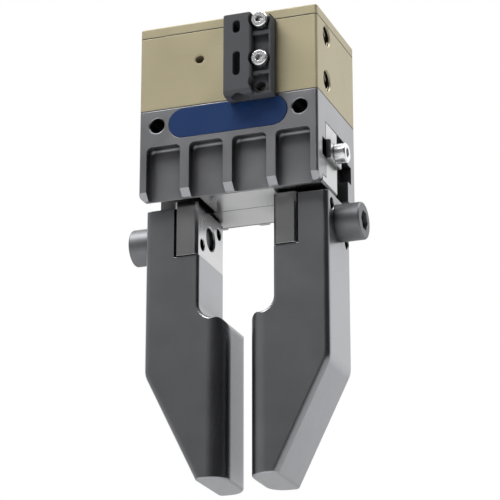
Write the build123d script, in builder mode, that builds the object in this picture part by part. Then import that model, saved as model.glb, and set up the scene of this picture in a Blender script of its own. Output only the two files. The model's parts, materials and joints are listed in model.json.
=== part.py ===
from build123d import *
import math
import os

os.makedirs("parts", exist_ok=True)

# Pneumatic two-finger parallel gripper. Millimetres, +Z up.
# Origin: centre of the top mounting face. +X is the jaw travel, -Y is the front.

# --- body -------------------------------------------------------------
BODY_W = 80.0            # along X
BODY_D = 50.0            # along Y
COVER_T = 4.5            # top cover plate
BLOCK_BOTTOM = -38.6     # joint between cylinder block and jaw housing
HOUSING_BOTTOM = -78.5   # underside of the jaw housing
BODY_CORNER_R = 1.2      # vertical edges of the body
BODY_EDGE = 0.5          # broken edges
SEAM_EDGE = 0.3          # broken edges where the body sections meet

# --- cylinder ---------------------------------------------------------
BORE_L = 52.0            # stadium bore, along X
BORE_W = 30.0            # stadium bore, along Y
BORE_FLAT = BORE_L - BORE_W
PISTON_GAP = 0.08        # running clearance of the piston
PISTON_TOP = -6.5
PISTON_T = 16.0
PISTON_EDGE = 0.8
ROD_R = 5.0
ROD_GAP = 0.05
BUSH_L = 6.9
BUSH_R = 7.5
ROD_SEAL_H = 3.4
ROD_SEAL_DROP = 1.0      # below the joint of block and housing
ROD_PASSAGE_R = 6.0
SEAL_SECTION = 1.6       # static seals, square section
SEAL_PATH_W = 33.5       # outer width of the static seals
RING_DEPTH = 2.6         # ring grooves in the piston
SEAL_Z = -9.6
MAGNET_Z = -14.0
GUIDE_Z = -18.8
SEAL_H = 2.4
MAGNET_H = 3.0
GUIDE_H = 3.0
RING_PLAY = 0.1          # a ring is this much lower than its groove
RING_SECTION = 2.4       # seal and guide ring, radially
RING_GAP = 0.05          # to the bore
MAGNET_SECTION = 2.2
MAGNET_GAP = 0.35

# --- channel, jaws ----------------------------------------------------
CHANNEL_TOP = -50.0
CHANNEL_W = 30.0         # upper channel, along Y
REBATE_W = 39.4          # wider slot at the underside
REBATE_H = 3.3
RUN_GAP = 0.4            # clearance round the moving jaws
SEAM_GAP = 0.2           # half of the gap between the two bars
FLANGE_T = 3.0
BAR_INNER_X = -15.3      # inboard end of the right bar
END_ROUND = 2.3          # lower edges at both body ends
BAR_BEVEL = 0.9          # lower edges at both ends of a jaw bar
PLATE_T = 2.1            # end plates on the jaw bars
PLATE_EDGE = 0.3
PLATE_TAP_DEPTH = 11.0
RAIL_Z = -62.25
RAIL_H = 7.9
RAIL_OUT = 19.4          # outer side of the rail from the centre plane
RAIL_IN = 11.0           # inner side of the rail from the centre plane
RAIL_L = 71.0
RAIL_EDGE = 0.3
SLOT_H = 8.5

# --- wedge drive ------------------------------------------------------
WEDGE_W = 16.0
WEDGE_D = 10.0
WEDGE_TOP = -50.7
WEDGE_H = 11.3
WEDGE_SLOPE = 0.5        # jaw travel per piston travel
RIB_T = 4.0
RIB_OUT = 3.0
RIB_ROOT = 4.0           # the ribs start inside the wedge block
RIB_PLAY = 0.2
WEDGE_EDGE = 0.6
WEDGE_TAP_DEPTH = 9.0
POCKET_FLOOR = -74.6
POCKET_RIGHT = 8.5

# --- stub and finger --------------------------------------------------
STUB_IN = 16.8
STUB_OUT = 27.3
STUB_HALF = 15.6
STUB_TOP = -79.6
STUB_BOTTOM = -101.9
STUB_SHOULDER = -77.7
STUB_EDGE = 1.2          # bevel of the stub's standing edges
SHOULDER_Y = 1.0         # the shoulder reaches this far towards the other bar
NECK_X0 = STUB_IN + 1.4  # neck between the bar and the stub
NECK_X1 = STUB_OUT - 1.4
NECK_HALF = 13.4
ROOT = 0.5               # overlap of two shapes of one piece
SCREW_Z = -90.5
DOWEL_Y = 9.7
DOWEL_DZ = 5.6
DOWEL_R = 2.5
DOWEL_RIM = 0.3
DOWEL_FIT = 0.02
DOWEL_L = 14.0
DOWEL_START = 21.8       # inboard end of the right dowel pins
TAP_RIM = 0.5            # mouth of the finger screw thread
FINGER_OUT = 40.7
FINGER_HALF = 15.0
FINGER_TOP = -80.3
FINGER_NARROW_X = 16.5
FINGER_GRIP_X = 4.85
STEP_Z = -130.0
STEP_INNER_R = 6.5       # hollow corner of the step
STEP_OUTER_R = 4.6       # full corner of the step
BEND_Z = -152.4
TIP_Z = -199.0
TIP_OUT = 17.7
TIP_ROUND = 1.2
GRIP_ROUND = 8.0         # standing edges of the grip pad
FINGER_EDGE = 1.4        # inner edges above the grip pad
OUTER_EDGE = 2.4         # standing edges on the outside
BEND_R = 10.0            # between the straight and the tapered outside

# --- fasteners --------------------------------------------------------
M10_R = 5.0
M10_CLEAR_R = 5.5
M10_HEAD_R = 8.0
M10_HEAD_H = 11.0
M10_HEAD_EDGE = 1.0
M5_R = 2.5
M5_HEAD_R = 4.25
M5_HEAD_H = 5.0
M5_HEAD_EDGE = 0.6
M4_R = 2.0
M4_HEAD_R = 3.5
M4_HEAD_H = 4.0
M4_HEAD_EDGE = 0.4
M3_R = 1.5
M3_HEAD_R = 3.0
M3_CONE_H = 1.78
SHANK_GAP = 0.05         # a shank is this much thinner than its thread hole
M5_TAP_R = 2.1
HEX_M3, HEX_M4, HEX_M5, HEX_M10 = 2.0, 3.0, 4.0, 8.0
SOCKET_M3, SOCKET_M4 = 1.4, 2.2
SOCKET_SHARE = 0.55      # socket depth of the larger screws per head height
COVER_SCREW_L = 12.0
COVER_SCREW_SINK = 0.2
PISTON_SCREW_L = 45.0
PISTON_SCREW_SINK = 6.0
PLATE_SCREW_L = 12.0
FINGER_SCREW_L = 22.0
CLEAR = 0.3
TOOL = 1.0               # overrun of a cutting shape
NEAR = 0.01              # two positions this close are the same

# --- positions --------------------------------------------------------
MOUNT_X = 30.0
MOUNT_Y = 20.0
MOUNT_DEPTH = 12.0
LOCATING_DEPTH = 6.0
COVER_TAP_DEPTH = 9.0
CLAMP_X = 22.6
CLAMP_Y = 20.0
CLAMP_SEAT = -5.9       # seat of the body screw heads
CLAMP_LENGTH = 42.0
CLAMP_TAP_DEPTH = 11.0
COVER_SCREWS = [(36, 21), (36, -21), (-36, 21), (-36, -21), (36, 0), (-36, 0)]
THROUGH_X = 32.0
THROUGH_Z = -45.6
THROUGH_R = 3.3
THROUGH_RIM = 0.4
LABEL_Z = -46.0
LABEL_L = 53.0
LABEL_H = 13.2
LABEL_T = 0.5
LABEL_RECESS = 0.3
LABEL_PLAY = 0.4         # the seat is this much larger than the label
PORT_Y = -12.2
PORT_Z = (-9.9, -30.4)
PORT_R = 4.3
PORT_DEPTH = 9.0
PORT_RIM = 0.55
AIR_R = 2.0              # passage behind each port
AIR_L = 9.0
ACCESSORY_X = -12.8
ACCESSORY_Z = -17.8
ACCESSORY_R = 1.8
ACCESSORY_DEPTH = 7.0
ACCESSORY_RIM = 0.35
POCKET_PITCH = 19.3
POCKET_W = 15.2
POCKET_TOP = -55.2
POCKET_DEPTH = 4.7
POCKET_FLOOR_R = 1.5
POCKET_R = 2.3
RIB_CHAMFER = 3.0

# --- sensor bracket ---------------------------------------------------
BRACKET_X0 = 1.4
BRACKET_STEP_X = 13.7
BRACKET_X1 = 21.7
BRACKET_TOP = -3.7
BRACKET_COLUMN_TOP = -4.9
BRACKET_BOTTOM = -40.4
BRACKET_FRONT = -34.5    # raised part round the sensor bore
BRACKET_COLUMN = -32.0   # lower column with the screws
BRACKET_RECESS = -29.8   # seat of the screw heads
BRACKET_RIM = 0.8        # wall on the outer side of the recesses
SENSOR_X = 7.4
SENSOR_Y = -29.7
SENSOR_R = 3.8
SENSOR_TOP = -6.7        # blind end of the sensor bore
WINDOW_W = 3.3           # windows over the sensor
UPPER_WINDOW = (-6.9, -12.8)
LOWER_WINDOW = (-21.1, -32.1)
BRACKET_SCREW_X = 17.05
BRACKET_SCREW_Z = (-7.25, -25.0)
BRACKET_HOLE_X = 16.7
BRACKET_HOLE_Z = -36.7
BRACKET_HOLE_R = 2.2
BRACKET_SCREW_L = 7.6
SCALLOP_R = 4.5          # room for the screw heads in the raised part
LOW_SCALLOP_R = 4.1
LOW_SCALLOP_Z = -35.9
BRACKET_RECESSES = ((-12.1, 0), (-30.5, -13.9), (-39.3, -32.1))
BRACKET_BEVEL = 1.6      # lower front edge
BRACKET_EDGE = 0.6
BRACKET_TOP_EDGE = 0.4
FOOT_GAP = 0.4           # the foot stands clear of the housing

FRONT = Plane.XZ         # its normal points to -Y
END = Plane.YZ           # its normal points to +X
UPWARD = (Align.CENTER, Align.CENTER, Align.MIN)
DOWNWARD = (Align.CENTER, Align.CENTER, Align.MAX)


def save(piece, name):
    """Label one sub-part and write its file."""
    piece.label = name
    export_step(piece, "parts/" + name + ".step")


def stadium_prism(length, width, top, bottom, mode=Mode.ADD):
    """Rounded slot shape standing between two heights."""
    with BuildSketch(Plane.XY.offset(bottom)) as outline:
        SlotOverall(length, width)
    extrude(outline.sketch, amount=top - bottom, mode=mode)


def stadium_ring(width, section, top, bottom, mode=Mode.ADD):
    """Closed ring that follows the stadium bore."""
    with BuildSketch(Plane.XY.offset(bottom)) as outline:
        SlotOverall(width + BORE_FLAT, width)
        SlotOverall(width + BORE_FLAT - 2 * section, width - 2 * section, mode=Mode.SUBTRACT)
    extrude(outline.sketch, amount=top - bottom, mode=mode)


def drill_down(points, radius, top, bottom):
    """Vertical holes cut from one height down to another."""
    with BuildSketch(Plane.XY.offset(bottom)) as outline:
        with Locations(*points):
            Circle(radius)
    extrude(outline.sketch, amount=top - bottom, mode=Mode.SUBTRACT)


def drill_x(y, z, radius, start, end):
    """Hole along X between two positions, start on the +X side."""
    with BuildSketch(END.offset(end)) as outline:
        with Locations((y, z)):
            Circle(radius)
    extrude(outline.sketch, amount=start - end, mode=Mode.SUBTRACT)


def drill_y(x, z, radius, start, end):
    """Hole along Y between two positions, start on the -Y side."""
    with BuildSketch(FRONT.offset(-end)) as outline:
        with Locations((x, z)):
            Circle(radius)
    extrude(outline.sketch, amount=end - start, mode=Mode.SUBTRACT)


def box(x0, x1, y0, y1, z0, z1, mode=Mode.ADD):
    """Block given by its six limits."""
    with Locations(((x0 + x1) / 2, (y0 + y1) / 2, (z0 + z1) / 2)):
        Box(x1 - x0, y1 - y0, z1 - z0, mode=mode)


def body_block(bottom, top):
    """Rectangular body section with rounded vertical edges."""
    with BuildSketch(Plane.XY.offset(bottom)) as outline:
        RectangleRounded(BODY_W, BODY_D, BODY_CORNER_R)
    extrude(outline.sketch, amount=top - bottom)


def hex_sockets(plane, points, flats, depth):
    """Hexagon sockets cut into screw heads."""
    with BuildSketch(plane) as outline:
        with Locations(*points):
            RegularPolygon(flats / 2, 6, major_radius=False)
    extrude(outline.sketch, amount=-depth, mode=Mode.SUBTRACT)


def round_edges(part, radius):
    """Circular edges of one radius in a part under construction."""
    circles = part.edges().filter_by(GeomType.CIRCLE)
    return circles.filter_by(lambda e: abs(e.radius - radius) < NEAR)


MOUNTS = [(sx * MOUNT_X, sy * MOUNT_Y) for sx in (-1, 1) for sy in (-1, 1)]
CLAMPS = [(sx * CLAMP_X, sy * CLAMP_Y) for sx in (-1, 1) for sy in (-1, 1)]
LOCATING = [(0, MOUNT_Y), (0, -MOUNT_Y)]

# --- top cover --------------------------------------------------------
with BuildPart() as top_cover:
    body_block(-COVER_T, 0)
    chamfer(top_cover.faces().sort_by(Axis.Z)[-1].edges(), BODY_EDGE)
    chamfer(top_cover.faces().sort_by(Axis.Z)[0].edges(), SEAM_EDGE)
    drill_down(MOUNTS, M5_R + CLEAR, 0, -COVER_T)
    drill_down(CLAMPS, M4_HEAD_R + CLEAR, 0, -COVER_T)
    drill_down(LOCATING, M4_R, 0, -COVER_T)
    with Locations(*[(x, y, 0) for x, y in COVER_SCREWS]):
        CounterSinkHole(M3_R + CLEAR, M3_HEAD_R + CLEAR, COVER_T)
save(top_cover.part, "top_cover")

# --- cylinder block ---------------------------------------------------
with BuildPart() as cylinder_block:
    body_block(BLOCK_BOTTOM, -COVER_T)
    chamfer(cylinder_block.faces().sort_by(Axis.Z)[-1].edges(), SEAM_EDGE)
    chamfer(cylinder_block.faces().sort_by(Axis.Z)[0].edges(), SEAM_EDGE)
    stadium_prism(BORE_L, BORE_W, -COVER_T, BLOCK_BOTTOM, Mode.SUBTRACT)
    stadium_ring(SEAL_PATH_W, SEAL_SECTION, -COVER_T, -COVER_T - SEAL_SECTION, Mode.SUBTRACT)
    drill_down(MOUNTS, M5_TAP_R, -COVER_T, -COVER_T - MOUNT_DEPTH)
    drill_down(CLAMPS, M4_HEAD_R + CLEAR, -COVER_T, CLAMP_SEAT)
    drill_down(CLAMPS, M4_R + CLEAR, CLAMP_SEAT, BLOCK_BOTTOM)
    drill_down(COVER_SCREWS, M3_R, -COVER_T, -COVER_T - COVER_TAP_DEPTH)
    drill_down(LOCATING, M4_R, -COVER_T, -COVER_T - LOCATING_DEPTH)
    for port_z in PORT_Z:
        drill_x(PORT_Y, port_z, PORT_R, BODY_W / 2, BODY_W / 2 - PORT_DEPTH)
        drill_x(PORT_Y, port_z, AIR_R, BODY_W / 2 - PORT_DEPTH, BODY_W / 2 - PORT_DEPTH - AIR_L)
    drill_y(ACCESSORY_X, ACCESSORY_Z, ACCESSORY_R, -BODY_D / 2, -BODY_D / 2 + ACCESSORY_DEPTH)
    for screw_z in BRACKET_SCREW_Z:
        drill_y(BRACKET_SCREW_X, screw_z, M4_R, -BODY_D / 2, BRACKET_RECESS + BRACKET_SCREW_L)
    port_rims = round_edges(cylinder_block, PORT_R).filter_by(lambda e: e.center().X > BODY_W / 2 - TOOL)
    chamfer(port_rims, PORT_RIM)
    hole_rim = round_edges(cylinder_block, ACCESSORY_R).filter_by(lambda e: e.center().Y < TOOL - BODY_D / 2)
    chamfer(hole_rim, ACCESSORY_RIM)
save(cylinder_block.part, "cylinder_block")

# --- seals and screws of the cylinder ---------------------------------
with BuildPart() as cover_seal:
    stadium_ring(SEAL_PATH_W, SEAL_SECTION, -COVER_T, -COVER_T - SEAL_SECTION)
save(cover_seal.part, "cover_seal")

with BuildPart() as cover_screws:
    for x, y in COVER_SCREWS:
        with Locations((x, y, -COVER_SCREW_SINK)):
            Cone(M3_R - SHANK_GAP, M3_HEAD_R, M3_CONE_H, align=DOWNWARD)
            Cylinder(M3_R - SHANK_GAP, COVER_SCREW_L, align=DOWNWARD)
    hex_sockets(Plane.XY.offset(-COVER_SCREW_SINK), COVER_SCREWS, HEX_M3, SOCKET_M3)
save(cover_screws.part, "cover_screws")

with BuildPart() as body_screws:
    for x, y in CLAMPS:
        with Locations((x, y, CLAMP_SEAT)):
            Cylinder(M4_HEAD_R, M4_HEAD_H, align=UPWARD)
            Cylinder(M4_R - SHANK_GAP, CLAMP_LENGTH, align=DOWNWARD)
    head_tops = body_screws.faces().group_by(Axis.Z)[-1]
    chamfer(head_tops.edges(), M4_HEAD_EDGE)
    hex_sockets(Plane.XY.offset(CLAMP_SEAT + M4_HEAD_H), CLAMPS, HEX_M4, SOCKET_M4)
save(body_screws.part, "body_screws")

# --- piston -----------------------------------------------------------
PISTON_L = BORE_L - 2 * PISTON_GAP
PISTON_W = BORE_W - 2 * PISTON_GAP
GROOVES = [(SEAL_Z, SEAL_H), (MAGNET_Z, MAGNET_H), (GUIDE_Z, GUIDE_H)]

with BuildPart() as piston:
    stadium_prism(PISTON_L, PISTON_W, PISTON_TOP, PISTON_TOP - PISTON_T)
    chamfer(piston.faces().sort_by(Axis.Z)[-1].edges(), PISTON_EDGE)
    for groove_z, groove_h in GROOVES:
        with BuildSketch(Plane.XY.offset(groove_z - groove_h / 2)):
            SlotOverall(BORE_L + TOOL, BORE_W + TOOL)
            SlotOverall(PISTON_L - 2 * RING_DEPTH, PISTON_W - 2 * RING_DEPTH, mode=Mode.SUBTRACT)
        extrude(amount=groove_h, mode=Mode.SUBTRACT)
    with BuildSketch(Plane.XY.offset(WEDGE_TOP)):
        Circle(ROD_R)
    extrude(amount=PISTON_TOP - PISTON_T - WEDGE_TOP)
    drill_down([(0, 0)], M5_R + CLEAR, PISTON_TOP, WEDGE_TOP)
    drill_down([(0, 0)], M5_HEAD_R + CLEAR, PISTON_TOP, PISTON_TOP - PISTON_SCREW_SINK)
save(piston.part, "piston")


def piston_ring(centre_z, height, section, outer_gap):
    """Ring that sits in one groove of the piston."""
    stadium_ring(BORE_W - 2 * outer_gap, section, centre_z + height / 2, centre_z - height / 2)


with BuildPart() as piston_seal:
    piston_ring(SEAL_Z, SEAL_H - RING_PLAY, RING_SECTION, RING_GAP)
save(piston_seal.part, "piston_seal")

with BuildPart() as piston_magnet:
    piston_ring(MAGNET_Z, MAGNET_H - RING_PLAY, MAGNET_SECTION, MAGNET_GAP)
save(piston_magnet.part, "piston_magnet")

with BuildPart() as piston_guide_ring:
    piston_ring(GUIDE_Z, GUIDE_H - RING_PLAY, RING_SECTION, RING_GAP)
save(piston_guide_ring.part, "piston_guide_ring")

# --- rod guide --------------------------------------------------------
with BuildPart() as rod_bush:
    with Locations((0, 0, CHANNEL_TOP)):
        Cylinder(BUSH_R, BUSH_L, align=UPWARD)
        Cylinder(ROD_R + ROD_GAP, BUSH_L, align=UPWARD, mode=Mode.SUBTRACT)
save(rod_bush.part, "rod_bush")

with BuildPart() as rod_seal:
    with Locations((0, 0, BLOCK_BOTTOM - ROD_SEAL_DROP)):
        Cylinder(BUSH_R, ROD_SEAL_H, align=DOWNWARD)
        Cylinder(ROD_R + ROD_GAP, ROD_SEAL_H, align=DOWNWARD, mode=Mode.SUBTRACT)
save(rod_seal.part, "rod_seal")

with BuildPart() as body_seal:
    stadium_ring(SEAL_PATH_W, SEAL_SECTION, BLOCK_BOTTOM, BLOCK_BOTTOM - SEAL_SECTION)
save(body_seal.part, "body_seal")

# --- jaw housing ------------------------------------------------------
POCKETS = [(i - 1.5) * POCKET_PITCH for i in range(4)]
POCKET_H = POCKET_TOP - HOUSING_BOTTOM
REACH = BODY_W / 2 + TOOL


def side_pockets(side):
    """Row of pockets, open at the underside, in the front or rear wall."""
    floor = side * (BODY_D / 2 - POCKET_DEPTH)
    for x in POCKETS:
        with BuildSketch(Plane.XZ.offset(-floor)) as outline:
            with Locations((x, HOUSING_BOTTOM - POCKET_R)):
                RectangleRounded(POCKET_W, 2 * POCKET_H + 2 * POCKET_R, POCKET_R,
                                 align=(Align.CENTER, Align.CENTER))
        extrude(outline.sketch, amount=-side * POCKET_DEPTH, mode=Mode.SUBTRACT)


def bottom_bevel(side):
    """Bevel along the lower outside edge of the front or rear wall."""
    y = side * BODY_D / 2
    with BuildSketch(Plane.YZ.offset(-BODY_W / 2)) as outline:
        with BuildLine():
            Polyline(
                (y, HOUSING_BOTTOM + RIB_CHAMFER),
                (y, HOUSING_BOTTOM),
                (y - side * RIB_CHAMFER, HOUSING_BOTTOM),
                close=True,
            )
        make_face()
    extrude(outline.sketch, amount=BODY_W, mode=Mode.SUBTRACT)


with BuildPart() as jaw_housing:
    body_block(HOUSING_BOTTOM, BLOCK_BOTTOM)
    chamfer(jaw_housing.faces().sort_by(Axis.Z)[-1].edges(), SEAM_EDGE)
    end_edges = jaw_housing.edges().group_by(Axis.Z)[0].filter_by(Axis.Y)
    fillet(end_edges, END_ROUND)
    box(-REACH, REACH, -CHANNEL_W / 2, CHANNEL_W / 2, HOUSING_BOTTOM - TOOL, CHANNEL_TOP, Mode.SUBTRACT)
    box(-REACH, REACH, -REBATE_W / 2, REBATE_W / 2, HOUSING_BOTTOM - TOOL, HOUSING_BOTTOM + REBATE_H,
        Mode.SUBTRACT)
    box(-REACH, REACH, -RAIL_OUT, RAIL_OUT, RAIL_Z - RAIL_H / 2, RAIL_Z + RAIL_H / 2, Mode.SUBTRACT)
    side_pockets(-1)
    side_pockets(1)
    floor_y = BODY_D / 2 - POCKET_DEPTH
    floors = jaw_housing.edges().filter_by(lambda e: abs(abs(e.center().Y) - floor_y) < NEAR)
    fillet(floors.filter_by(lambda e: e.center().Z > HOUSING_BOTTOM + TOOL), POCKET_FLOOR_R)
    bottom_bevel(-1)
    bottom_bevel(1)
    drill_y(THROUGH_X, THROUGH_Z, THROUGH_R, -BODY_D / 2, BODY_D / 2)
    drill_y(-THROUGH_X, THROUGH_Z, THROUGH_R, -BODY_D / 2, BODY_D / 2)
    chamfer(round_edges(jaw_housing, THROUGH_R), THROUGH_RIM)
    drill_down([(0, 0)], BUSH_R, BLOCK_BOTTOM - ROD_SEAL_DROP, CHANNEL_TOP)
    drill_down([(0, 0)], ROD_PASSAGE_R, BLOCK_BOTTOM, CHANNEL_TOP)
    drill_down(CLAMPS, M4_R, BLOCK_BOTTOM, BLOCK_BOTTOM - CLAMP_TAP_DEPTH)
    stadium_ring(SEAL_PATH_W, SEAL_SECTION, BLOCK_BOTTOM, BLOCK_BOTTOM - SEAL_SECTION, Mode.SUBTRACT)
    with BuildSketch(FRONT.offset(BODY_D / 2 - LABEL_RECESS)) as label_seat:
        with Locations((0, LABEL_Z)):
            SlotOverall(LABEL_L + LABEL_PLAY, LABEL_H + LABEL_PLAY)
    extrude(label_seat.sketch, amount=LABEL_RECESS, mode=Mode.SUBTRACT)
save(jaw_housing.part, "jaw_housing")

with BuildPart() as name_label:
    with BuildSketch(FRONT.offset(BODY_D / 2 - LABEL_RECESS)) as label_face:
        with Locations((0, LABEL_Z)):
            SlotOverall(LABEL_L, LABEL_H)
    extrude(label_face.sketch, amount=LABEL_T)
save(name_label.part, "name_label")


def guide_rail(side):
    """Ground rail held in the wall groove, reaching into the jaw bar."""
    y0 = min(side * RAIL_OUT, side * RAIL_IN)
    y1 = max(side * RAIL_OUT, side * RAIL_IN)
    box(-RAIL_L / 2, RAIL_L / 2, y0, y1, RAIL_Z - RAIL_H / 2, RAIL_Z + RAIL_H / 2)


with BuildPart() as front_guide_rail:
    guide_rail(-1)
    chamfer(front_guide_rail.edges().filter_by(Axis.X), RAIL_EDGE)
save(front_guide_rail.part, "front_guide_rail")

with BuildPart() as rear_guide_rail:
    guide_rail(1)
    chamfer(rear_guide_rail.edges().filter_by(Axis.X), RAIL_EDGE)
save(rear_guide_rail.part, "rear_guide_rail")

# --- wedge drive ------------------------------------------------------
WEDGE_MID = WEDGE_TOP - WEDGE_H / 2


def inclined_rib(side, top, bottom, width, y_in, y_out, mode=Mode.ADD):
    """Inclined rib or slot; it crosses the centre line at mid height."""
    lean = -side * WEDGE_SLOPE
    half = width / 2
    x_top = lean * (top - WEDGE_MID)
    x_bottom = lean * (bottom - WEDGE_MID)
    y_near = side * y_in
    with BuildSketch(Plane.XZ.offset(-y_near)) as outline:
        with BuildLine():
            Polyline(
                (x_top - half, top),
                (x_top + half, top),
                (x_bottom + half, bottom),
                (x_bottom - half, bottom),
                close=True,
            )
        make_face()
    extrude(outline.sketch, amount=-side * (y_out - y_in), mode=mode)


with BuildPart() as wedge_block:
    box(-WEDGE_W / 2, WEDGE_W / 2, -WEDGE_D / 2, WEDGE_D / 2, WEDGE_TOP - WEDGE_H, WEDGE_TOP)
    chamfer(wedge_block.edges().filter_by(Axis.Z), WEDGE_EDGE)
    for side in (-1, 1):
        inclined_rib(side, WEDGE_TOP, WEDGE_TOP - WEDGE_H, RIB_T, RIB_ROOT, WEDGE_D / 2 + RIB_OUT)
    drill_down([(0, 0)], M5_R, WEDGE_TOP, WEDGE_TOP - WEDGE_TAP_DEPTH)
save(wedge_block.part, "wedge_block")

PISTON_SCREW_SEAT = PISTON_TOP - PISTON_SCREW_SINK

with BuildPart() as piston_screw:
    with Locations((0, 0, PISTON_SCREW_SEAT)):
        Cylinder(M5_HEAD_R, M5_HEAD_H, align=UPWARD)
        Cylinder(M5_R - SHANK_GAP, PISTON_SCREW_L, align=DOWNWARD)
    hex_sockets(Plane.XY.offset(PISTON_SCREW_SEAT + M5_HEAD_H), [(0, 0)], HEX_M5, M5_HEAD_H * SOCKET_SHARE)
save(piston_screw.part, "piston_screw")

# --- base jaws --------------------------------------------------------
BAR_FRONT = -CHANNEL_W / 2 + RUN_GAP
FLANGE_FRONT = -REBATE_W / 2 + RUN_GAP
BAR_BOTTOM = HOUSING_BOTTOM + FLANGE_T

with BuildPart() as right_base_jaw:
    box(BAR_INNER_X, BODY_W / 2, BAR_FRONT, -SEAM_GAP, BAR_BOTTOM - ROOT, CHANNEL_TOP - RUN_GAP)
    box(BAR_INNER_X, BODY_W / 2, FLANGE_FRONT, -SEAM_GAP, HOUSING_BOTTOM, BAR_BOTTOM)
    box(-REACH, REACH, BAR_FRONT - TOOL, -RAIL_IN + RUN_GAP, RAIL_Z - SLOT_H / 2, RAIL_Z + SLOT_H / 2,
        Mode.SUBTRACT)
    lower_edges = right_base_jaw.edges().group_by(Axis.Z)[0].filter_by(Axis.Y)
    chamfer(lower_edges, BAR_BEVEL)
    box(-REACH, POCKET_RIGHT, -WEDGE_D / 2 - RUN_GAP, 0, POCKET_FLOOR, CHANNEL_TOP, Mode.SUBTRACT)
    inclined_rib(-1, CHANNEL_TOP + TOOL, POCKET_FLOOR, RIB_T + RIB_PLAY, RIB_ROOT,
                 WEDGE_D / 2 + RIB_OUT + RUN_GAP, Mode.SUBTRACT)
    box(STUB_IN, STUB_OUT, -STUB_HALF, STUB_HALF, STUB_BOTTOM, STUB_TOP)
    box(STUB_IN, STUB_OUT, SHOULDER_Y, STUB_HALF, STUB_TOP - ROOT, STUB_SHOULDER)
    stub_edges = right_base_jaw.edges().filter_by(lambda e: e.center().Z < STUB_SHOULDER + NEAR)
    stub_ends = stub_edges.filter_by(Axis.Z).filter_by(lambda e: abs(e.center().Y) > STUB_HALF - NEAR)
    chamfer(stub_ends, STUB_EDGE)
    box(NECK_X0, NECK_X1, -NECK_HALF, -SEAM_GAP, STUB_TOP - ROOT, HOUSING_BOTTOM + ROOT)
    box(NECK_X0, NECK_X1, -SEAM_GAP - ROOT, NECK_HALF, STUB_TOP - ROOT, STUB_SHOULDER)
    drill_x(0, SCREW_Z, M10_R, STUB_OUT + TOOL, STUB_IN - TOOL)
    drill_x(-DOWEL_Y, SCREW_Z + DOWEL_DZ, DOWEL_R, STUB_OUT + TOOL, STUB_IN - TOOL)
    drill_x(DOWEL_Y, SCREW_Z - DOWEL_DZ, DOWEL_R, STUB_OUT + TOOL, STUB_IN - TOOL)
    chamfer(round_edges(right_base_jaw, M10_R), TAP_RIM)
    chamfer(round_edges(right_base_jaw, DOWEL_R), DOWEL_RIM)
    drill_x(BAR_FRONT / 2, RAIL_Z, M5_R, BODY_W / 2 + TOOL, BODY_W / 2 - PLATE_TAP_DEPTH)
save(right_base_jaw.part, "right_base_jaw")

with BuildPart() as left_base_jaw:
    add(right_base_jaw.part.rotate(Axis.Z, 180))
save(left_base_jaw.part, "left_base_jaw")

# --- end plates and their screws --------------------------------------
with BuildPart() as right_end_plate:
    box(BODY_W / 2, BODY_W / 2 + PLATE_T, BAR_FRONT, -SEAM_GAP, RAIL_Z - SLOT_H / 2, RAIL_Z + SLOT_H / 2)
    chamfer(right_end_plate.faces().sort_by(Axis.X)[-1].edges(), PLATE_EDGE)
    drill_x(BAR_FRONT / 2, RAIL_Z, M5_R + CLEAR, BODY_W / 2 + PLATE_T + TOOL, BODY_W / 2 - TOOL)
save(right_end_plate.part, "right_end_plate")

with BuildPart() as left_end_plate:
    add(right_end_plate.part.rotate(Axis.Z, 180))
save(left_end_plate.part, "left_end_plate")


def screw_along_x(x, y, z, shank_r, shank_l, head_r, head_h, flats):
    """Socket head screw; its head stands on the plane at x, facing +X."""
    with BuildSketch(END.offset(x)) as head:
        with Locations((y, z)):
            Circle(head_r)
    extrude(head.sketch, amount=head_h)
    with BuildSketch(END.offset(x - shank_l)) as shank:
        with Locations((y, z)):
            Circle(shank_r)
    extrude(shank.sketch, amount=shank_l)
    hex_sockets(END.offset(x + head_h), [(y, z)], flats, head_h * SOCKET_SHARE)


with BuildPart() as right_plate_screw:
    screw_along_x(BODY_W / 2 + PLATE_T, BAR_FRONT / 2, RAIL_Z, M5_R - SHANK_GAP, PLATE_SCREW_L,
                  M5_HEAD_R, M5_HEAD_H, HEX_M5)
    chamfer(round_edges(right_plate_screw, M5_HEAD_R).sort_by(Axis.X)[-1], M5_HEAD_EDGE)
save(right_plate_screw.part, "right_plate_screw")

with BuildPart() as left_plate_screw:
    add(right_plate_screw.part.rotate(Axis.Z, 180))
save(left_plate_screw.part, "left_plate_screw")

# --- fingers ----------------------------------------------------------


def round_grip_corner(side):
    """Large rounding of one standing edge of the grip pad, below the step."""
    corner_x = FINGER_GRIP_X
    corner_y = side * FINGER_HALF
    with BuildSketch(Plane.XY.offset(TIP_Z - TOOL)) as waste:
        with BuildLine():
            Polyline(
                (corner_x + GRIP_ROUND, corner_y),
                (corner_x + GRIP_ROUND, corner_y + side),
                (corner_x - TOOL, corner_y + side),
                (corner_x - TOOL, corner_y - side * GRIP_ROUND),
                (corner_x, corner_y - side * GRIP_ROUND),
            )
            RadiusArc(
                (corner_x, corner_y - side * GRIP_ROUND),
                (corner_x + GRIP_ROUND, corner_y),
                side * GRIP_ROUND,
            )
        make_face()
    extrude(waste.sketch, amount=STEP_Z + STEP_INNER_R - TIP_Z, mode=Mode.SUBTRACT)


SEAT_X = STUB_OUT + CLEAR
TAPER = math.atan2(FINGER_OUT - TIP_OUT, BEND_Z - TIP_Z)
BEND_RUN = BEND_R * math.tan(TAPER / 2)

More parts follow.
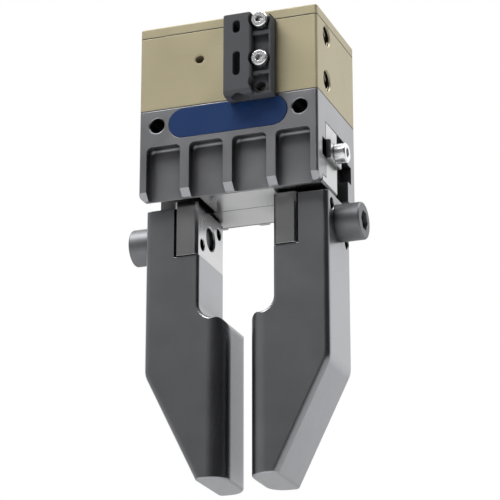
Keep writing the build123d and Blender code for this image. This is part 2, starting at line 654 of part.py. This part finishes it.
with BuildPart() as right_finger:
    with BuildSketch(Plane.XZ.offset(-FINGER_HALF)) as finger_outline:
        with BuildLine():
            Polyline(
                (FINGER_NARROW_X, STUB_BOTTOM - CLEAR),
                (SEAT_X, STUB_BOTTOM - CLEAR),
                (SEAT_X, FINGER_TOP),
                (FINGER_OUT, FINGER_TOP),
                (FINGER_OUT, BEND_Z + BEND_RUN),
            )
            RadiusArc(
                (FINGER_OUT, BEND_Z + BEND_RUN),
                (FINGER_OUT - BEND_RUN * math.sin(TAPER), BEND_Z - BEND_RUN * math.cos(TAPER)),
                BEND_R,
            )
            Polyline(
                (FINGER_OUT - BEND_RUN * math.sin(TAPER), BEND_Z - BEND_RUN * math.cos(TAPER)),
                (TIP_OUT, TIP_Z),
                (FINGER_GRIP_X, TIP_Z),
                (FINGER_GRIP_X, STEP_Z - STEP_OUTER_R),
            )
            RadiusArc(
                (FINGER_GRIP_X, STEP_Z - STEP_OUTER_R),
                (FINGER_GRIP_X + STEP_OUTER_R, STEP_Z),
                STEP_OUTER_R,
            )
            Line(
                (FINGER_GRIP_X + STEP_OUTER_R, STEP_Z),
                (FINGER_NARROW_X - STEP_INNER_R, STEP_Z),
            )
            RadiusArc(
                (FINGER_NARROW_X - STEP_INNER_R, STEP_Z),
                (FINGER_NARROW_X, STEP_Z + STEP_INNER_R),
                -STEP_INNER_R,
            )
            Line(
                (FINGER_NARROW_X, STEP_Z + STEP_INNER_R),
                (FINGER_NARROW_X, STUB_BOTTOM - CLEAR),
            )
        make_face()
    extrude(finger_outline.sketch, amount=2 * FINGER_HALF)
    sides = right_finger.edges().filter_by(lambda e: abs(abs(e.center().Y) - FINGER_HALF) < NEAR)
    inner = sides.filter_by(lambda e: e.center().X < FINGER_NARROW_X + NEAR)
    inner = inner.filter_by(lambda e: e.center().Z > TIP_Z + NEAR)
    fillet(inner, FINGER_EDGE)
    outer = right_finger.edges().filter_by(lambda e: abs(abs(e.center().Y) - FINGER_HALF) < NEAR)
    outer = outer.filter_by(lambda e: e.center().X > SEAT_X + NEAR)
    outer = outer.filter_by(lambda e: e.center().Z < FINGER_TOP - NEAR)
    fillet(outer, OUTER_EDGE)
    round_grip_corner(-1)
    round_grip_corner(1)
    fillet(right_finger.faces().sort_by(Axis.Z)[0].edges(), TIP_ROUND)
    drill_x(0, SCREW_Z, M10_CLEAR_R, FINGER_OUT + TOOL, STUB_OUT)
    drill_x(-DOWEL_Y, SCREW_Z + DOWEL_DZ, DOWEL_R, FINGER_OUT + TOOL, STUB_OUT)
    drill_x(DOWEL_Y, SCREW_Z - DOWEL_DZ, DOWEL_R, FINGER_OUT + TOOL, STUB_OUT)
    pin_rims = round_edges(right_finger, DOWEL_R).filter_by(lambda e: e.center().X > FINGER_OUT - TOOL)
    chamfer(pin_rims, DOWEL_RIM)
save(right_finger.part, "right_finger")

with BuildPart() as left_finger:
    add(right_finger.part.rotate(Axis.Z, 180))
save(left_finger.part, "left_finger")

with BuildPart() as right_finger_screw:
    screw_along_x(FINGER_OUT, 0, SCREW_Z, M10_R - SHANK_GAP, FINGER_SCREW_L, M10_HEAD_R, M10_HEAD_H, HEX_M10)
    fillet(round_edges(right_finger_screw, M10_HEAD_R).sort_by(Axis.X)[-1], M10_HEAD_EDGE)
save(right_finger_screw.part, "right_finger_screw")

with BuildPart() as left_finger_screw:
    add(right_finger_screw.part.rotate(Axis.Z, 180))
save(left_finger_screw.part, "left_finger_screw")

with BuildPart() as right_dowel_pins:
    for y, z in ((-DOWEL_Y, SCREW_Z + DOWEL_DZ), (DOWEL_Y, SCREW_Z - DOWEL_DZ)):
        with BuildSketch(END.offset(DOWEL_START)) as pin:
            with Locations((y, z)):
                Circle(DOWEL_R - DOWEL_FIT)
        extrude(pin.sketch, amount=DOWEL_L)
    chamfer(right_dowel_pins.edges().filter_by(GeomType.CIRCLE), DOWEL_RIM)
save(right_dowel_pins.part, "right_dowel_pins")

with BuildPart() as left_dowel_pins:
    add(right_dowel_pins.part.rotate(Axis.Z, 180))
save(left_dowel_pins.part, "left_dowel_pins")

# --- sensor bracket ---------------------------------------------------
BLOCK_FRONT = -BODY_D / 2
FOOT_TOP = BLOCK_BOTTOM + ROOT


def scallop(x, z, radius):
    """Round clearance in the bracket, down to the seat of the screw heads."""
    drill_y(x, z, radius, BRACKET_FRONT - TOOL, BRACKET_RECESS)


def sensor_window(top, bottom, depth):
    """Rounded window from the front of the bracket into the sensor bore."""
    with BuildSketch(FRONT.offset(-depth)) as outline:
        with Locations((SENSOR_X, (top + bottom) / 2)):
            SlotOverall(top - bottom, WINDOW_W, rotation=90)
    extrude(outline.sketch, amount=depth - BRACKET_FRONT + TOOL, mode=Mode.SUBTRACT)


with BuildPart() as sensor_bracket:
    box(BRACKET_X0, BRACKET_STEP_X, BRACKET_FRONT, BLOCK_FRONT, FOOT_TOP, BRACKET_TOP)
    box(BRACKET_STEP_X, BRACKET_X1, BRACKET_COLUMN, BLOCK_FRONT, FOOT_TOP, BRACKET_COLUMN_TOP)
    box(BRACKET_X0, BRACKET_STEP_X, BRACKET_FRONT, BLOCK_FRONT - FOOT_GAP, BRACKET_BOTTOM, FOOT_TOP)
    box(BRACKET_STEP_X, BRACKET_X1, BRACKET_COLUMN, BLOCK_FRONT - FOOT_GAP, BRACKET_BOTTOM, FOOT_TOP)
    front_low = sensor_bracket.edges().filter_by(Axis.X).group_by(Axis.Z)[0]
    chamfer(front_low.filter_by(lambda e: e.center().Y < BRACKET_RECESS), BRACKET_BEVEL)
    chamfer(sensor_bracket.edges().filter_by(Axis.Z).group_by(Axis.Y)[0], BRACKET_EDGE)
    top_edges = sensor_bracket.faces().filter_by(Axis.Z).group_by(Axis.Z)[-1].edges()
    chamfer(top_edges.filter_by(lambda e: e.center().Y < BLOCK_FRONT - TOOL), BRACKET_TOP_EDGE)
    for low, high in BRACKET_RECESSES:
        box(BRACKET_STEP_X, BRACKET_X1 - BRACKET_RIM, BRACKET_COLUMN - TOOL, BRACKET_RECESS, low, high,
            Mode.SUBTRACT)
    for screw_z in BRACKET_SCREW_Z:
        scallop(BRACKET_SCREW_X, screw_z, SCALLOP_R)
        drill_y(BRACKET_SCREW_X, screw_z, M4_R + CLEAR, BRACKET_FRONT - TOOL, BLOCK_FRONT)
    scallop(BRACKET_HOLE_X, LOW_SCALLOP_Z, LOW_SCALLOP_R)
    drill_y(BRACKET_HOLE_X, BRACKET_HOLE_Z, BRACKET_HOLE_R, BRACKET_FRONT - TOOL, BLOCK_FRONT)
    drill_down([(SENSOR_X, SENSOR_Y)], SENSOR_R, SENSOR_TOP, BRACKET_BOTTOM)
    sensor_window(*UPPER_WINDOW, BLOCK_FRONT)
    sensor_window(*LOWER_WINDOW, SENSOR_Y)
save(sensor_bracket.part, "sensor_bracket")


def screw_along_y(x, y, z):
    """M4 socket head screw; its head stands on the plane at y, facing -Y."""
    with BuildSketch(FRONT.offset(-y)) as head:
        with Locations((x, z)):
            Circle(M4_HEAD_R)
    extrude(head.sketch, amount=M4_HEAD_H)
    with BuildSketch(FRONT.offset(-y - BRACKET_SCREW_L)) as shank:
        with Locations((x, z)):
            Circle(M4_R - SHANK_GAP)
    extrude(shank.sketch, amount=BRACKET_SCREW_L)
    hex_sockets(FRONT.offset(-y + M4_HEAD_H), [(x, z)], HEX_M4, SOCKET_M4)


with BuildPart() as bracket_screws:
    for screw_z in BRACKET_SCREW_Z:
        screw_along_y(BRACKET_SCREW_X, BRACKET_RECESS, screw_z)
    chamfer(round_edges(bracket_screws, M4_HEAD_R).group_by(Axis.Y)[0], M4_HEAD_EDGE)
save(bracket_screws.part, "bracket_screws")
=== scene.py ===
import bpy
import json
import math
from mathutils import Matrix, Vector


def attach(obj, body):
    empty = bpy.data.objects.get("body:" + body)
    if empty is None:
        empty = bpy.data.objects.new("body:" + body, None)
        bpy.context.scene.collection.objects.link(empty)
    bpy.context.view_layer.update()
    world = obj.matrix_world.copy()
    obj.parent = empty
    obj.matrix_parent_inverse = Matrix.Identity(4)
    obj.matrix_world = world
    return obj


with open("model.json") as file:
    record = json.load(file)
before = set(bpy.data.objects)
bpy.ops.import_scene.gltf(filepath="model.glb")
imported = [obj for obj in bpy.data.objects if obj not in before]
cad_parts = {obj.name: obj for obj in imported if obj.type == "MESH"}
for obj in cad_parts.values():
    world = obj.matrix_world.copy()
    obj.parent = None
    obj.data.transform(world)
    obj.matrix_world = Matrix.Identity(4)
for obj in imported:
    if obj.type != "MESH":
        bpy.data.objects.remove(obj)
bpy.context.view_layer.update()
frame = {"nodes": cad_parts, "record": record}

nodes = frame["nodes"]
record = frame["record"]
scene = bpy.context.scene

MM = 0.001
UNIT = (0.0, 1.0)

# ---------------------------------------------------------------- helpers


class Tree:
    """Short-hand for building the node tree of a material or a world."""

    def __init__(self, owner):
        owner.use_nodes = True
        self.nodes = owner.node_tree.nodes
        self.links = owner.node_tree.links
        self.nodes.clear()

    def plug(self, socket, value):
        """Link another node's output to a socket, or give the socket a fixed value."""
        if hasattr(value, "is_linked"):
            self.links.new(value, socket)
        else:
            socket.default_value = value

    def add(self, kind, ins=None, **props):
        """New node with its properties set first and its inputs after them."""
        node = self.nodes.new(kind)
        for key, value in props.items():
            setattr(node, key, value)
        for key, value in (ins or {}).items():
            self.plug(node.inputs[key], value)
        return node

    def math(self, op, a, b, clamp=False):
        """Result of one operation on two values."""
        return self.add("ShaderNodeMath", {0: a, 1: b}, operation=op, use_clamp=clamp).outputs[0]

    def remap(self, value, source, target, smooth=False):
        """Value moved from one range to another and held at its ends."""
        ins = {0: value, 1: source[0], 2: source[1], 3: target[0], 4: target[1]}
        kind = "SMOOTHSTEP" if smooth else "LINEAR"
        return self.add("ShaderNodeMapRange", ins, interpolation_type=kind).outputs[0]

    def mix(self, factor, a, b, blend="MIX"):
        """Colour a, with colour b blended over it."""
        node = self.add("ShaderNodeMix", {0: factor, 6: a, 7: b}, data_type="RGBA", blend_type=blend)
        return node.outputs[2]

    def noise(self, vector, scale, detail=2.0, rough=0.5):
        """Soft noise between zero and one."""
        ins = {"Vector": vector, "Scale": scale, "Detail": detail, "Roughness": rough}
        return self.add("ShaderNodeTexNoise", ins).outputs[0]


def rgb(colour, gain=1.0):
    """Opaque colour, brightened or darkened by a gain."""
    return tuple(min(1.0, c * gain) for c in colour) + (1.0,)


def mesh_object(name, verts, faces, material):
    """New object in the scene, with one material."""
    mesh = bpy.data.meshes.new(name)
    mesh.from_pydata(verts, [], faces)
    mesh.materials.append(material)
    obj = bpy.data.objects.new(name, mesh)
    scene.collection.objects.link(obj)
    return obj


# ---------------------------------------------------------------- surface finish

NOISE_MIDDLE, GRAIN_MIDDLE = (0.3, 0.7), (0.35, 0.65)  # where most values of a noise lie
MOTTLE_SCALE = 60.0
SPECK_MIX, SPECK_GAIN = 4.0, 2.2        # strength and brightness of the specks, for each unit of mottle
LINE_MIX, LINE_GAIN = 4.0, 0.8          # strength for each unit of lay_amp, and tint, of grinding lines
LINE_GRAIN = 0.4                        # share of the fine grain that stays under grinding lines
EDGE_R, EDGE_GAIN = 0.4 * MM, 1.6       # reach and tint of the wear along edges
EDGE_TURN = (0.995, 0.86)               # cosine of the surface's turn, from no wear to full wear
WEAR_PATCHES = (0.45, 1.0)
SOFT_R = 0.3 * MM                       # sharp edges shade as if rounded by this much
OPENNESS = (0.25, 0.95)                 # ambient occlusion for the painted shade, from a deep hole to an open face
COAT_ROUGH = 0.15
RAYS = 6                                # samples of each bevel and occlusion


def mottled(t, base, mottle, slow, fine):
    """Base colour in slow darker and lighter patches, with fine light specks."""
    patches = t.remap(slow, NOISE_MIDDLE, UNIT)
    colour = t.mix(patches, rgb(base, 1.0 - mottle), rgb(base, 1.0 + mottle))
    specks = t.remap(fine, GRAIN_MIDDLE, UNIT)
    strength = t.math("MULTIPLY", specks, min(1.0, mottle * SPECK_MIX))
    return t.mix(strength, colour, rgb(base, 1.0 + mottle * SPECK_GAIN))


def grinding_lines(t, pos, lay, scale):
    """Noise stretched into parallel lines."""
    stretched = t.add("ShaderNodeMapping", {"Vector": pos, "Scale": lay}).outputs[0]
    return t.noise(stretched, scale, detail=3.0, rough=0.7)


def edge_wear(t, slow):
    """Wear of the edges: zero on flat faces, up to one on sharp edges, and uneven along them."""
    flat = t.add("ShaderNodeNewGeometry").outputs["Normal"]
    rounded = t.add("ShaderNodeBevel", {"Radius": EDGE_R}, samples=RAYS).outputs[0]
    turn = t.add("ShaderNodeVectorMath", {0: flat, 1: rounded}, operation="DOT_PRODUCT")
    worn = t.remap(turn.outputs["Value"], EDGE_TURN, UNIT)
    return t.math("MULTIPLY", worn, t.remap(slow, NOISE_MIDDLE, WEAR_PATCHES))


def cavity_shade(t, painted_shade, painted_shade_r):
    """Painted shade: grey that is white on open faces and darker in holes, corners and gaps, where shade
    falls.
    """
    occlusion = t.add("ShaderNodeAmbientOcclusion", {"Distance": painted_shade_r}, samples=RAYS)
    shade = t.remap(occlusion.outputs["AO"], OPENNESS, (1.0 - painted_shade, 1.0), smooth=True)
    return t.add("ShaderNodeCombineColor", {0: shade, 1: shade, 2: shade}).outputs[0]


def surface_normal(t, height, grain_amp):
    """Normal with soft edges and the relief of the grain, whose amplitude is in millimetres."""
    soft_edges = t.add("ShaderNodeBevel", {"Radius": SOFT_R}, samples=RAYS).outputs[0]
    ins = {"Strength": 1.0, "Distance": grain_amp * MM, "Height": height, "Normal": soft_edges}
    return t.add("ShaderNodeBump", ins).outputs[0]


def finish_material(name, base, metallic, rough, grain=2200.0, grain_amp=0.02, mottle=0.05, rough_var=0.04,
                    edge=0.25, lay=None, lay_amp=0.0, lay_scale=900.0, coat=0.0, spec=0.5, painted_shade=0.6,
                    painted_shade_r=0.005):
    """Material with fine grain, slow mottling, worn edges, painted shade in cavities and optional grinding
    lines.

    grain_amp is the height of the grain in millimetres. The reach of the painted shade in cavities
    is given in metres.
    """
    mat = bpy.data.materials.new(name)
    t = Tree(mat)
    pos = t.add("ShaderNodeTexCoord").outputs["Object"]
    fine = t.noise(pos, grain, detail=3.0, rough=0.6)
    slow = t.noise(pos, MOTTLE_SCALE, detail=4.0, rough=0.55)
    colour = mottled(t, base, mottle, slow, fine)
    roughness = t.remap(slow, NOISE_MIDDLE, (rough - rough_var, rough + rough_var))
    height = fine
    if lay:
        lines = grinding_lines(t, pos, lay, lay_scale)
        band = t.remap(lines, NOISE_MIDDLE, UNIT)
        colour = t.mix(t.math("MULTIPLY", band, lay_amp * LINE_MIX, True), colour, rgb(base, LINE_GAIN))
        roughness = t.math("ADD", roughness, t.remap(lines, NOISE_MIDDLE, (-lay_amp, lay_amp)))
        height = t.math("ADD", t.math("MULTIPLY", fine, LINE_GRAIN), lines)
    colour = t.mix(t.math("MULTIPLY", edge_wear(t, slow), edge, True), colour, rgb(base, EDGE_GAIN))
    # Painted shade: ambient occlusion darkens the colour in holes, corners and narrow gaps.
    colour = t.mix(1.0, colour, cavity_shade(t, painted_shade, painted_shade_r), "MULTIPLY")
    bsdf = t.add("ShaderNodeBsdfPrincipled", {
        "Base Color": colour, "Metallic": metallic, "Roughness": roughness,
        "Normal": surface_normal(t, height, grain_amp),
        "Specular IOR Level": spec, "Coat Weight": coat, "Coat Roughness": COAT_ROUGH})
    t.add("ShaderNodeOutputMaterial", {0: bsdf.outputs[0]})
    return mat


# ---------------------------------------------------------------- materials

# The grinding lines run along the axis whose scale is small.
ALONG_X, ALONG_Y, ALONG_Z = (0.02, 1, 1), (1, 0.02, 1), (1, 1, 0.02)
ALONG_PIN = (0.05, 1, 1)
# Each finish may set the depth and the reach of the painted shade in its cavities and gaps.
FINISH = {
    "gold_anodised": dict(base=(0.475, 0.420, 0.272), metallic=0.45, rough=0.42, grain=2600,
                          grain_amp=0.012, mottle=0.02, edge=0.05, lay=ALONG_X, lay_amp=0.035,
                          lay_scale=700.0, painted_shade=0.8, painted_shade_r=0.0025),
    "grey_anodised": dict(base=(0.350, 0.353, 0.371), metallic=0.95, rough=0.33, grain=2400,
                          grain_amp=0.012, mottle=0.02, edge=0.35, painted_shade=0.9, painted_shade_r=0.013),
    "rail_steel": dict(base=(0.25, 0.25, 0.26), metallic=1.0, rough=0.3, lay=ALONG_X, lay_amp=0.06),
    "jaw_steel": dict(base=(0.575, 0.575, 0.583), metallic=1.0, rough=0.24, lay=ALONG_X, lay_amp=0.008,
                      mottle=0.01, grain_amp=0.002, edge=0.0, painted_shade=0.97, painted_shade_r=0.022),
    "plate_steel": dict(base=(0.50, 0.50, 0.51), metallic=1.0, rough=0.28, lay=ALONG_Y, lay_amp=0.03,
                        edge=0.3),
    "finger_grey": dict(base=(0.345, 0.350, 0.368), metallic=1.0, rough=0.29, grain=1700, grain_amp=0.045,
                        mottle=0.04, rough_var=0.012, edge=0.1, painted_shade=0.6, painted_shade_r=0.03),
    "black_oxide": dict(base=(0.200, 0.204, 0.214), metallic=1.0, rough=0.52, grain=2600, grain_amp=0.012,
                        mottle=0.02, edge=1.0, painted_shade=0.9, painted_shade_r=0.005),
    "zinc_steel": dict(base=(0.92, 0.92, 0.93), metallic=0.9, rough=0.25, grain_amp=0.003, edge=0.3,
                       mottle=0.01, painted_shade=0.95, painted_shade_r=0.0016),
    "pin_steel": dict(base=(0.3, 0.3, 0.31), metallic=1.0, rough=0.3, lay=ALONG_PIN, lay_amp=0.05),
    "seal_rubber": dict(base=(0.02, 0.02, 0.022), metallic=0.0, rough=0.7, mottle=0.1, edge=0.1),
    "ring_plastic": dict(base=(0.45, 0.32, 0.14), metallic=0.0, rough=0.5, edge=0.1),
    "bush_bronze": dict(base=(0.55, 0.38, 0.17), metallic=1.0, rough=0.4, edge=0.3),
    "magnet": dict(base=(0.12, 0.115, 0.115), metallic=0.6, rough=0.6, edge=0.2),
    "piston_aluminium": dict(base=(0.78, 0.72, 0.62), metallic=1.0, rough=0.16, lay=ALONG_Z, lay_amp=0.02,
                             painted_shade=0.98, painted_shade_r=0.009),
    "black_plastic": dict(base=(0.080, 0.082, 0.090), metallic=0.0, rough=0.55, grain=1500, grain_amp=0.02,
                          mottle=0.03, edge=0.3, painted_shade=0.8, painted_shade_r=0.003, spec=0.25),
    "label_blue": dict(base=(0.011, 0.040, 0.140), metallic=0.0, rough=0.3, grain=900, grain_amp=0.003,
                       mottle=0.02, edge=0.2, coat=0.3, spec=0.35),
}
made = {name: finish_material(name, **args) for name, args in FINISH.items()}
slot_of = {s["node"]: s["material_slot"] for s in record["subparts"]}
for name, obj in nodes.items():
    obj.data.materials.clear()
    obj.data.materials.append(made[slot_of[name]])

# ---------------------------------------------------------------- bare metal and threads in the ports

BORE_REACH, BORE_SLACK = 0.6, 1.03      # shares of a bore's length and radius that take in its whole wall
PITCH, RIDGE = 0.907 * MM, 0.42 * MM
RIDGE_HALF = 0.42                       # half the width of the ridge's foot, as a share of the pitch
FOOT_GAP = 0.03 * MM                    # clearance between the ridge's foot and the bore's wall
TURN_STEPS = 40
RIDGE_END = 0.05                        # share of the ridge that is left where it runs out


def mount_place(name):
    """Position of a mount, its radius and its length, in metres."""
    mount = next(m for m in record["mounts"] if m["name"] == name)
    dims = mount["dims"]
    return Vector(mount["pos_m"]), dims["r_mm"] * MM, dims["length_mm"] * MM


def bare_wall(node, name):
    """Give the faces of one bore along X the machined finish."""
    centre, radius, length = mount_place(name)
    mesh = nodes[node].data
    if len(mesh.materials) < 2:
        mesh.materials.append(made["piston_aluminium"])
    for face in mesh.polygons:
        away = Vector(face.center) - centre
        if abs(away.x) < length * BORE_REACH and math.hypot(away.y, away.z) < radius * BORE_SLACK:
            face.material_index = 1


def ridge_points(centre, outer, turns):
    """Foot, crest and foot of the thread's ridge, step by step along its helix."""
    start = centre.x - turns * PITCH / 2
    last, fade_steps = turns * TURN_STEPS, TURN_STEPS / 2
    points = []
    for i in range(last + 1):
        angle = 2 * math.pi * i / TURN_STEPS
        x = start + PITCH * i / TURN_STEPS
        fade = min(1.0, i / fade_steps, (last - i) / fade_steps)
        crest = outer - RIDGE * max(fade, RIDGE_END)
        for shift, r in ((-RIDGE_HALF, outer), (0.0, crest), (RIDGE_HALF, outer)):
            y = centre.y + r * math.cos(angle)
            z = centre.z + r * math.sin(angle)
            points.append((x + shift * PITCH, y, z))
    return points


def thread(name, mount):
    """Helical thread ridge that lines one bore along X."""
    centre, radius, length = mount_place(mount)
    turns = int((length - 2 * PITCH) / PITCH)
    faces = []
    for i in range(turns * TURN_STEPS):
        for k in range(3):
            a, b = 3 * i + k, 3 * i + (k + 1) % 3
            faces.append((a, b, b + 3, a + 3))
    last = 3 * turns * TURN_STEPS
    faces += [(2, 1, 0), (last, last + 1, last + 2)]
    verts = ridge_points(centre, radius - FOOT_GAP, turns)
    piece = mesh_object(name, verts, faces, made["piston_aluminium"])
    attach(piece, "body")


for place in ("upper", "lower"):
    bare_wall("cylinder_block", place + "_air_port")
    thread(place + "_port_thread", place + "_air_port")

# ---------------------------------------------------------------- gaskets in the seams of the body

CORNER_R, CORNER_STEPS = 1.2 * MM, 6
GASKET_INSET, GASKET_DEPTH, GASKET_HALF = 0.08 * MM, 0.4 * MM, 0.22 * MM


def corner_loop(half_x, half_y, radius):
    """Points of a rounded rectangle about the Z axis."""
    points = []
    for corner, (sx, sy) in enumerate(((1, 1), (-1, 1), (-1, -1), (1, -1))):
        for step in range(CORNER_STEPS + 1):
            angle = math.pi / 2 * (corner + step / CORNER_STEPS)
            x = sx * (half_x - radius) + radius * math.cos(angle)
            y = sy * (half_y - radius) + radius * math.sin(angle)
            points.append((x, y))
    return points


def gasket(name, upper_node):
    """Thin dark ring in the groove under one section of the body."""
    mesh_verts = nodes[upper_node].data.vertices
    z = min(v.co.z for v in mesh_verts)
    half_x = max(v.co.x for v in mesh_verts)
    half_y = max(v.co.y for v in mesh_verts)
    verts, faces = [], []
    for depth, side in ((0, -1), (0, 1), (GASKET_DEPTH, 1), (GASKET_DEPTH, -1)):
        inset = depth + GASKET_INSET
        loop = corner_loop(half_x - inset, half_y - inset, CORNER_R - inset)
        verts += [(x, y, z + side * GASKET_HALF) for x, y in loop]
    count = len(verts) // 4
    for ring in range(4):
        for i in range(count):
            a, b = ring * count + i, ring * count + (i + 1) % count
            c, d = (ring + 1) % 4 * count + (i + 1) % count, (ring + 1) % 4 * count + i
            faces.append((a, b, c, d))
    piece = mesh_object(name, verts, faces, made["seal_rubber"])
    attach(piece, "body")


gasket("cover_gasket", "top_cover")
gasket("housing_gasket", "cylinder_block")

# ---------------------------------------------------------------- floor

FLOOR_Z, FLOOR_HALF = -0.8, 6.0
PAPER_DARK, PAPER_PALE = (0.80, 0.80, 0.80), (0.84, 0.84, 0.84)
PAPER_SCALE, PAPER_ROUGH = 3.0, 0.9


def paper_material():
    """Pale matt paper with faint slow patches."""
    mat = bpy.data.materials.new("paper")
    t = Tree(mat)
    pos = t.add("ShaderNodeTexCoord").outputs["Object"]
    pale = t.mix(t.noise(pos, PAPER_SCALE), rgb(PAPER_DARK), rgb(PAPER_PALE))
    bsdf = t.add("ShaderNodeBsdfPrincipled", {"Base Color": pale, "Roughness": PAPER_ROUGH})
    t.add("ShaderNodeOutputMaterial", {0: bsdf.outputs[0]})
    return mat


floor_signs = [(-1, -1), (1, -1), (1, 1), (-1, 1)]
floor_corners = [(x * FLOOR_HALF, y * FLOOR_HALF, FLOOR_Z) for x, y in floor_signs]
floor = mesh_object("floor", floor_corners, [(0, 1, 2, 3)], paper_material())

# ---------------------------------------------------------------- surroundings that the metal reflects

# Each range of a direction's component runs from where an effect is nil to where it is full.
BACK_RANGE, BACK_LEVEL = (0.0, 0.55), 1.10
RIGHT_SIDE, LEFT_SIDE = (0.0, 0.25), (0.0, -0.25)
LOW_RIGHT, LOW_RIGHT_LOSS = (-0.08, -0.30), 0.9
LOW_LEFT, LOW_LEFT_GAIN = (-0.12, -0.32), 0.2
TOP_RANGE, BOTTOM_RANGE, END_LEVEL = (0.55, 0.95), (-0.35, -0.75), 0.6
# The lowest level in any direction falls from the left side to the right side.
LEAST_RANGE, LEAST_LEVELS = (-0.9, 0.30), (0.31, 0.01)


def low_corner(w, dir_x, dir_z, side, low, amount):
    """Rises to an amount in the low part of the surroundings on one side, and is zero elsewhere."""
    return w.math("MULTIPLY", w.remap(dir_z, low, (0.0, amount), True), w.remap(dir_x, side, UNIT, True))


def studio_level(w):
    """Brightness in each direction: strong behind the object, weak in front, more at top and bottom."""
    direction = w.add("ShaderNodeTexCoord").outputs["Generated"]
    dir_x, dir_y, dir_z = w.add("ShaderNodeSeparateXYZ", {0: direction}).outputs
    back = w.remap(dir_y, BACK_RANGE, (0.0, BACK_LEVEL), True)
    loss = low_corner(w, dir_x, dir_z, RIGHT_SIDE, LOW_RIGHT, LOW_RIGHT_LOSS)
    back = w.math("MULTIPLY", back, w.math("SUBTRACT", 1.0, loss))
    gain = low_corner(w, dir_x, dir_z, LEFT_SIDE, LOW_LEFT, LOW_LEFT_GAIN)
    back = w.math("MULTIPLY", back, w.math("ADD", 1.0, gain))
    level = w.math("MAXIMUM", back, w.remap(dir_x, LEAST_RANGE, LEAST_LEVELS, True))
    for ends in (TOP_RANGE, BOTTOM_RANGE):
        level = w.math("ADD", level, w.remap(dir_z, ends, (0.0, END_LEVEL), True))
    return level


def studio_world():
    """Surroundings that are plain white to the camera and shaded to everything else."""
    world = bpy.data.worlds.new("studio")
    w = Tree(world)
    shaded = w.add("ShaderNodeBackground", {"Color": rgb((1, 1, 1)), "Strength": studio_level(w)})
    white = w.add("ShaderNodeBackground", {"Color": rgb((1, 1, 1)), "Strength": 1.0})
    seen = w.add("ShaderNodeLightPath").outputs["Is Camera Ray"]
    pick = w.add("ShaderNodeMixShader", {0: seen, 1: shaded.outputs[0], 2: white.outputs[0]})
    w.add("ShaderNodeOutputWorld", {0: pick.outputs[0]})
    return world


scene.world = studio_world()

# ---------------------------------------------------------------- lights and camera

AIM = Vector((0, 0, -0.1))
AZIMUTH, ELEVATION, DISTANCE = math.radians(20.06), math.radians(-19.69), 1.0058
SHIFT_RIGHT, SHIFT_UP = 0.90 * MM, 2.61 * MM
LENS, SENSOR = 171.65, 36.0
CLIP_NEAR, CLIP_FAR = 0.05, 30.0


def softbox(name, place, size, power):
    """Rectangular lamp, turned towards the object and hidden from the camera."""
    data = bpy.data.lights.new(name, "AREA")
    data.shape = "RECTANGLE"
    data.size, data.size_y = size
    data.energy = power
    obj = bpy.data.objects.new(name, data)
    obj.location = place
    obj.rotation_mode = "QUATERNION"
    obj.rotation_quaternion = (AIM - Vector(place)).to_track_quat("-Z", "Y")
    obj.visible_camera = False
    scene.collection.objects.link(obj)


def photo_camera():
    """Camera that looks up at the object from the front right."""
    ground = math.cos(ELEVATION)
    back_dir = Vector((math.sin(AZIMUTH) * ground, -math.cos(AZIMUTH) * ground, math.sin(ELEVATION)))
    right_dir = Vector((math.cos(AZIMUTH), math.sin(AZIMUTH), 0))
    up_dir = back_dir.cross(right_dir)
    data = bpy.data.cameras.new("camera")
    data.lens = LENS
    data.sensor_width = SENSOR
    data.clip_start, data.clip_end = CLIP_NEAR, CLIP_FAR
    obj = bpy.data.objects.new("camera", data)
    obj.matrix_world = Matrix((right_dir, up_dir, back_dir)).transposed().to_4x4()
    obj.location = AIM + right_dir * SHIFT_RIGHT + up_dir * SHIFT_UP + back_dir * DISTANCE
    scene.collection.objects.link(obj)
    return obj


softbox("top_front", place=(-0.55, -0.62, 1.10), size=(1.5, 0.5), power=20.0)
softbox("low_front", place=(-0.45, -0.7, -0.95), size=(0.9, 0.5), power=6.5)
softbox("top_right", place=(0.75, 0.15, 1.15), size=(0.6, 0.6), power=8.0)
scene.camera = photo_camera()
scene.view_settings.view_transform = "Standard"
